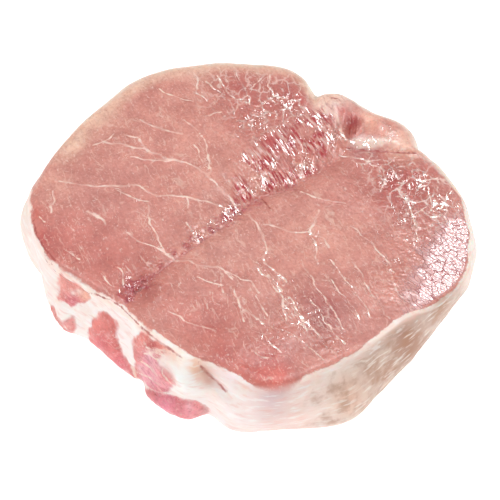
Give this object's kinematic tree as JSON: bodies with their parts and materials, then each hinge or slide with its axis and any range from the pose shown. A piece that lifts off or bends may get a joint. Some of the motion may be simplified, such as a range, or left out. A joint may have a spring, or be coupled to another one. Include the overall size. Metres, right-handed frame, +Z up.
{
  "type": "butterfly pork chop",
  "caption": "Raw boneless pork loin chop, split and opened flat into two lobes of lean meat joined along a fold, edged with fat.",
  "frame": {"origin": "on the board, under the middle of the chop", "axes": "+Z up out of the opened cut face, +Y along the fold towards the notch and the flap, +X across the fold"},
  "size_m": [0.1316, 0.1188, 0.0255],
  "materials": {
    "raw_pork": "moist raw pork: pink lean meat with fine white marbling, edged with cream-white fat and thin tan silverskin"
  },
  "bodies": {
    "root": {"chop": "raw_pork"}
  },
  "joints": []
}
